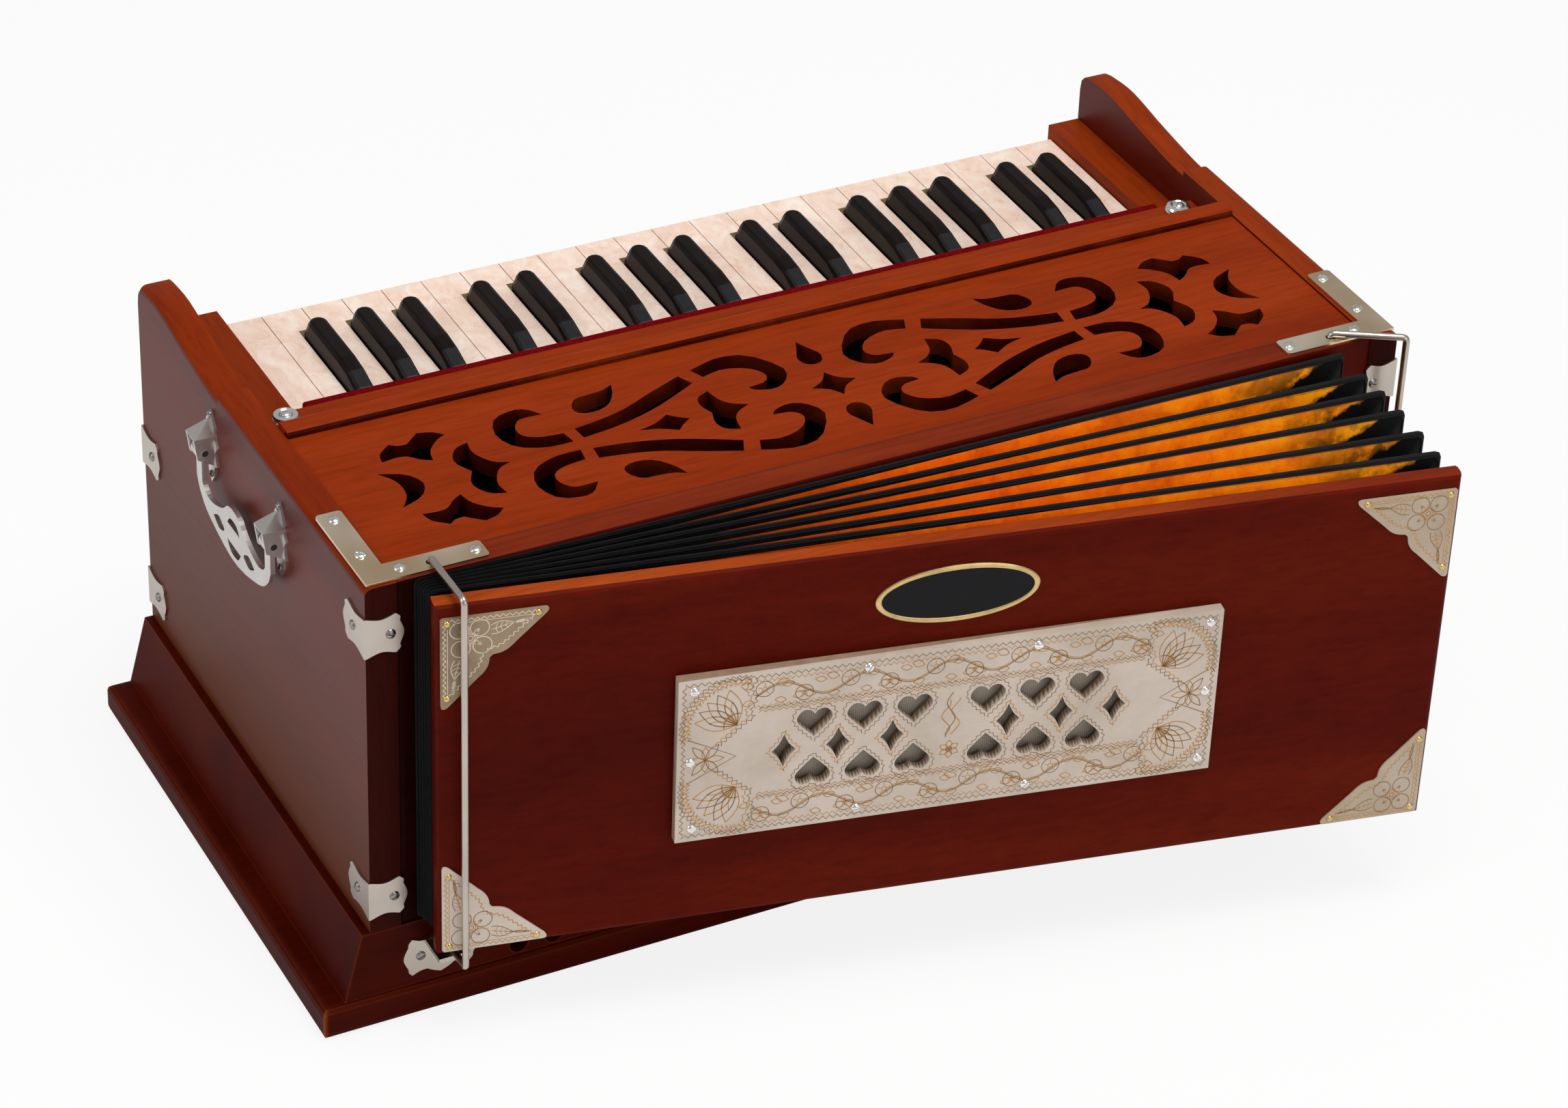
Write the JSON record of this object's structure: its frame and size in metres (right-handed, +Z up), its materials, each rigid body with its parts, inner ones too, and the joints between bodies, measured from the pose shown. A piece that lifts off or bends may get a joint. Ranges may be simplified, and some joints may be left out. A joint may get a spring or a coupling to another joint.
{
  "type": "indian harmonium",
  "caption": "Hand-pumped reed organ in a wooden case, with a piano keyboard, a fretwork cover and a hinged pump board on pleated bellows.",
  "frame": {"origin": "middle of the underside of the base board", "axes": "+X along the case towards the low notes, +Y from the bellows towards the player, +Z up"},
  "size_m": [0.612, 0.4317, 0.2615],
  "materials": {
    "mahogany": "satin reddish-brown stained hardwood",
    "cover_wood": "satin orange-brown stained hardwood",
    "plain_wood": "plain unstained wood",
    "plated_metal": "bright nickel plate",
    "engraved_acrylic": "cream acrylic with engraved tan lines",
    "white_key": "mottled ivory-coloured key covering",
    "black_key": "matt black",
    "knob": "polished black turned knob",
    "felt": "dark crimson felt",
    "leatherette": "fine-grained black leatherette over folded board"
  },
  "bodies": {
    "case": {"base_board": "mahogany", "plinth": "mahogany", "left_end_panel": "mahogany", "right_end_panel": "mahogany", "bellows_wall": "mahogany", "stop_board": "mahogany", "reed_deck": "plain_wood", "reed_bank": "plain_wood", "reservoir": "leatherette", "top_cover": "cover_wood", "felt_strip": "felt", "left_corner_bracket": "plated_metal", "right_corner_bracket": "plated_metal", "bellows": "leatherette"},
    "pump": {"pump_board": "mahogany", "grille_plate": "engraved_acrylic"},
    "latch_left": {"left_latch_wire": "plated_metal"},
    "latch_right": {"right_latch_wire": "plated_metal"},
    "handle_left": {"left_handle": "plated_metal"},
    "handle_right": {"right_handle": "plated_metal"},
    "stop_knob_1_body": {"stop_knob_1": "knob"},
    "stop_knob_2_body": {"stop_knob_2": "knob"},
    "stop_knob_3_body": {"stop_knob_3": "knob"},
    "key_01_body": {"key_01": "white_key"},
    "key_02_body": {"key_02": "black_key"},
    "key_03_body": {"key_03": "white_key"},
    "key_04_body": {"key_04": "black_key"},
    "key_05_body": {"key_05": "white_key"},
    "key_06_body": {"key_06": "white_key"},
    "key_07_body": {"key_07": "black_key"},
    "key_08_body": {"key_08": "white_key"},
    "key_09_body": {"key_09": "black_key"},
    "key_10_body": {"key_10": "white_key"},
    "key_11_body": {"key_11": "black_key"},
    "key_12_body": {"key_12": "white_key"},
    "key_13_body": {"key_13": "white_key"},
    "key_14_body": {"key_14": "black_key"},
    "key_15_body": {"key_15": "white_key"},
    "key_16_body": {"key_16": "black_key"},
    "key_17_body": {"key_17": "white_key"},
    "key_18_body": {"key_18": "white_key"},
    "key_19_body": {"key_19": "black_key"},
    "key_20_body": {"key_20": "white_key"},
    "key_21_body": {"key_21": "black_key"},
    "key_22_body": {"key_22": "white_key"},
    "key_23_body": {"key_23": "black_key"},
    "key_24_body": {"key_24": "white_key"},
    "key_25_body": {"key_25": "white_key"},
    "key_26_body": {"key_26": "black_key"},
    "key_27_body": {"key_27": "white_key"},
    "key_28_body": {"key_28": "black_key"},
    "key_29_body": {"key_29": "white_key"},
    "key_30_body": {"key_30": "white_key"},
    "key_31_body": {"key_31": "black_key"},
    "key_32_body": {"key_32": "white_key"},
    "key_33_body": {"key_33": "black_key"},
    "key_34_body": {"key_34": "white_key"},
    "key_35_body": {"key_35": "black_key"},
    "key_36_body": {"key_36": "white_key"},
    "key_37_body": {"key_37": "white_key"}
  },
  "joints": [
    {"name": "pump_swing", "type": "hinge", "parent": "case", "child": "pump", "pos_m": [-0.244, -0.1728, 0.15], "axis": [0, 0, -1], "range_deg": [-11.4, 5], "stiffness_Nm_per_rad": 2, "deforming": ["bellows"]},
    {"name": "left_latch_turn", "type": "hinge", "parent": "case", "child": "latch_left", "pos_m": [-0.244, -0.139, 0.25], "axis": [0, 0, -1], "range_deg": [0, 60]},
    {"name": "right_latch_turn", "type": "hinge", "parent": "case", "child": "latch_right", "pos_m": [0.244, -0.139, 0.25], "axis": [0, 0, -1], "range_deg": [0, 60]},
    {"name": "left_handle_swing", "type": "hinge", "parent": "case", "child": "handle_left", "pos_m": [-0.2865, 0.0003, 0.222], "axis": [0, 1, 0], "range_deg": [-6, 138]},
    {"name": "right_handle_swing", "type": "hinge", "parent": "case", "child": "handle_right", "pos_m": [0.2865, 0.0003, 0.222], "axis": [0, -1, 0], "range_deg": [-6, 138]},
    {"name": "stop_knob_1_pull", "type": "slide", "parent": "case", "child": "stop_knob_1_body", "axis": [0, 1, 0], "range_m": [0, 0.02]},
    {"name": "stop_knob_2_pull", "type": "slide", "parent": "case", "child": "stop_knob_2_body", "axis": [0, 1, 0], "range_m": [0, 0.02]},
    {"name": "stop_knob_3_pull", "type": "slide", "parent": "case", "child": "stop_knob_3_body", "axis": [0, 1, 0], "range_m": [0, 0.02]},
    {"name": "key_01_press", "type": "hinge", "parent": "case", "child": "key_01_body", "pos_m": [0, -0.042, 0.209], "axis": [-1, 0, 0], "range_deg": [0, 2.4], "stiffness_Nm_per_rad": 0.5, "springref_deg": -11.46},
    {"name": "key_02_press", "type": "hinge", "parent": "case", "child": "key_02_body", "pos_m": [0, -0.042, 0.209], "axis": [-1, 0, 0], "range_deg": [0, 2.4], "stiffness_Nm_per_rad": 0.5, "springref_deg": -11.46},
    {"name": "key_03_press", "type": "hinge", "parent": "case", "child": "key_03_body", "pos_m": [0, -0.042, 0.209], "axis": [-1, 0, 0], "range_deg": [0, 2.4], "stiffness_Nm_per_rad": 0.5, "springref_deg": -11.46},
    {"name": "key_04_press", "type": "hinge", "parent": "case", "child": "key_04_body", "pos_m": [0, -0.042, 0.209], "axis": [-1, 0, 0], "range_deg": [0, 2.4], "stiffness_Nm_per_rad": 0.5, "springref_deg": -11.46},
    {"name": "key_05_press", "type": "hinge", "parent": "case", "child": "key_05_body", "pos_m": [0, -0.042, 0.209], "axis": [-1, 0, 0], "range_deg": [0, 2.4], "stiffness_Nm_per_rad": 0.5, "springref_deg": -11.46},
    {"name": "key_06_press", "type": "hinge", "parent": "case", "child": "key_06_body", "pos_m": [0, -0.042, 0.209], "axis": [-1, 0, 0], "range_deg": [0, 2.4], "stiffness_Nm_per_rad": 0.5, "springref_deg": -11.46},
    {"name": "key_07_press", "type": "hinge", "parent": "case", "child": "key_07_body", "pos_m": [0, -0.042, 0.209], "axis": [-1, 0, 0], "range_deg": [0, 2.4], "stiffness_Nm_per_rad": 0.5, "springref_deg": -11.46},
    {"name": "key_08_press", "type": "hinge", "parent": "case", "child": "key_08_body", "pos_m": [0, -0.042, 0.209], "axis": [-1, 0, 0], "range_deg": [0, 2.4], "stiffness_Nm_per_rad": 0.5, "springref_deg": -11.46},
    {"name": "key_09_press", "type": "hinge", "parent": "case", "child": "key_09_body", "pos_m": [0, -0.042, 0.209], "axis": [-1, 0, 0], "range_deg": [0, 2.4], "stiffness_Nm_per_rad": 0.5, "springref_deg": -11.46},
    {"name": "key_10_press", "type": "hinge", "parent": "case", "child": "key_10_body", "pos_m": [0, -0.042, 0.209], "axis": [-1, 0, 0], "range_deg": [0, 2.4], "stiffness_Nm_per_rad": 0.5, "springref_deg": -11.46},
    {"name": "key_11_press", "type": "hinge", "parent": "case", "child": "key_11_body", "pos_m": [0, -0.042, 0.209], "axis": [-1, 0, 0], "range_deg": [0, 2.4], "stiffness_Nm_per_rad": 0.5, "springref_deg": -11.46},
    {"name": "key_12_press", "type": "hinge", "parent": "case", "child": "key_12_body", "pos_m": [0, -0.042, 0.209], "axis": [-1, 0, 0], "range_deg": [0, 2.4], "stiffness_Nm_per_rad": 0.5, "springref_deg": -11.46},
    {"name": "key_13_press", "type": "hinge", "parent": "case", "child": "key_13_body", "pos_m": [0, -0.042, 0.209], "axis": [-1, 0, 0], "range_deg": [0, 2.4], "stiffness_Nm_per_rad": 0.5, "springref_deg": -11.46},
    {"name": "key_14_press", "type": "hinge", "parent": "case", "child": "key_14_body", "pos_m": [0, -0.042, 0.209], "axis": [-1, 0, 0], "range_deg": [0, 2.4], "stiffness_Nm_per_rad": 0.5, "springref_deg": -11.46},
    {"name": "key_15_press", "type": "hinge", "parent": "case", "child": "key_15_body", "pos_m": [0, -0.042, 0.209], "axis": [-1, 0, 0], "range_deg": [0, 2.4], "stiffness_Nm_per_rad": 0.5, "springref_deg": -11.46},
    {"name": "key_16_press", "type": "hinge", "parent": "case", "child": "key_16_body", "pos_m": [0, -0.042, 0.209], "axis": [-1, 0, 0], "range_deg": [0, 2.4], "stiffness_Nm_per_rad": 0.5, "springref_deg": -11.46},
    {"name": "key_17_press", "type": "hinge", "parent": "case", "child": "key_17_body", "pos_m": [0, -0.042, 0.209], "axis": [-1, 0, 0], "range_deg": [0, 2.4], "stiffness_Nm_per_rad": 0.5, "springref_deg": -11.46},
    {"name": "key_18_press", "type": "hinge", "parent": "case", "child": "key_18_body", "pos_m": [0, -0.042, 0.209], "axis": [-1, 0, 0], "range_deg": [0, 2.4], "stiffness_Nm_per_rad": 0.5, "springref_deg": -11.46},
    {"name": "key_19_press", "type": "hinge", "parent": "case", "child": "key_19_body", "pos_m": [0, -0.042, 0.209], "axis": [-1, 0, 0], "range_deg": [0, 2.4], "stiffness_Nm_per_rad": 0.5, "springref_deg": -11.46},
    {"name": "key_20_press", "type": "hinge", "parent": "case", "child": "key_20_body", "pos_m": [0, -0.042, 0.209], "axis": [-1, 0, 0], "range_deg": [0, 2.4], "stiffness_Nm_per_rad": 0.5, "springref_deg": -11.46},
    {"name": "key_21_press", "type": "hinge", "parent": "case", "child": "key_21_body", "pos_m": [0, -0.042, 0.209], "axis": [-1, 0, 0], "range_deg": [0, 2.4], "stiffness_Nm_per_rad": 0.5, "springref_deg": -11.46},
    {"name": "key_22_press", "type": "hinge", "parent": "case", "child": "key_22_body", "pos_m": [0, -0.042, 0.209], "axis": [-1, 0, 0], "range_deg": [0, 2.4], "stiffness_Nm_per_rad": 0.5, "springref_deg": -11.46},
    {"name": "key_23_press", "type": "hinge", "parent": "case", "child": "key_23_body", "pos_m": [0, -0.042, 0.209], "axis": [-1, 0, 0], "range_deg": [0, 2.4], "stiffness_Nm_per_rad": 0.5, "springref_deg": -11.46},
    {"name": "key_24_press", "type": "hinge", "parent": "case", "child": "key_24_body", "pos_m": [0, -0.042, 0.209], "axis": [-1, 0, 0], "range_deg": [0, 2.4], "stiffness_Nm_per_rad": 0.5, "springref_deg": -11.46},
    {"name": "key_25_press", "type": "hinge", "parent": "case", "child": "key_25_body", "pos_m": [0, -0.042, 0.209], "axis": [-1, 0, 0], "range_deg": [0, 2.4], "stiffness_Nm_per_rad": 0.5, "springref_deg": -11.46},
    {"name": "key_26_press", "type": "hinge", "parent": "case", "child": "key_26_body", "pos_m": [0, -0.042, 0.209], "axis": [-1, 0, 0], "range_deg": [0, 2.4], "stiffness_Nm_per_rad": 0.5, "springref_deg": -11.46},
    {"name": "key_27_press", "type": "hinge", "parent": "case", "child": "key_27_body", "pos_m": [0, -0.042, 0.209], "axis": [-1, 0, 0], "range_deg": [0, 2.4], "stiffness_Nm_per_rad": 0.5, "springref_deg": -11.46},
    {"name": "key_28_press", "type": "hinge", "parent": "case", "child": "key_28_body", "pos_m": [0, -0.042, 0.209], "axis": [-1, 0, 0], "range_deg": [0, 2.4], "stiffness_Nm_per_rad": 0.5, "springref_deg": -11.46},
    {"name": "key_29_press", "type": "hinge", "parent": "case", "child": "key_29_body", "pos_m": [0, -0.042, 0.209], "axis": [-1, 0, 0], "range_deg": [0, 2.4], "stiffness_Nm_per_rad": 0.5, "springref_deg": -11.46},
    {"name": "key_30_press", "type": "hinge", "parent": "case", "child": "key_30_body", "pos_m": [0, -0.042, 0.209], "axis": [-1, 0, 0], "range_deg": [0, 2.4], "stiffness_Nm_per_rad": 0.5, "springref_deg": -11.46},
    {"name": "key_31_press", "type": "hinge", "parent": "case", "child": "key_31_body", "pos_m": [0, -0.042, 0.209], "axis": [-1, 0, 0], "range_deg": [0, 2.4], "stiffness_Nm_per_rad": 0.5, "springref_deg": -11.46},
    {"name": "key_32_press", "type": "hinge", "parent": "case", "child": "key_32_body", "pos_m": [0, -0.042, 0.209], "axis": [-1, 0, 0], "range_deg": [0, 2.4], "stiffness_Nm_per_rad": 0.5, "springref_deg": -11.46},
    {"name": "key_33_press", "type": "hinge", "parent": "case", "child": "key_33_body", "pos_m": [0, -0.042, 0.209], "axis": [-1, 0, 0], "range_deg": [0, 2.4], "stiffness_Nm_per_rad": 0.5, "springref_deg": -11.46},
    {"name": "key_34_press", "type": "hinge", "parent": "case", "child": "key_34_body", "pos_m": [0, -0.042, 0.209], "axis": [-1, 0, 0], "range_deg": [0, 2.4], "stiffness_Nm_per_rad": 0.5, "springref_deg": -11.46},
    {"name": "key_35_press", "type": "hinge", "parent": "case", "child": "key_35_body", "pos_m": [0, -0.042, 0.209], "axis": [-1, 0, 0], "range_deg": [0, 2.4], "stiffness_Nm_per_rad": 0.5, "springref_deg": -11.46},
    {"name": "key_36_press", "type": "hinge", "parent": "case", "child": "key_36_body", "pos_m": [0, -0.042, 0.209], "axis": [-1, 0, 0], "range_deg": [0, 2.4], "stiffness_Nm_per_rad": 0.5, "springref_deg": -11.46},
    {"name": "key_37_press", "type": "hinge", "parent": "case", "child": "key_37_body", "pos_m": [0, -0.042, 0.209], "axis": [-1, 0, 0], "range_deg": [0, 2.4], "stiffness_Nm_per_rad": 0.5, "springref_deg": -11.46}
  ]
}
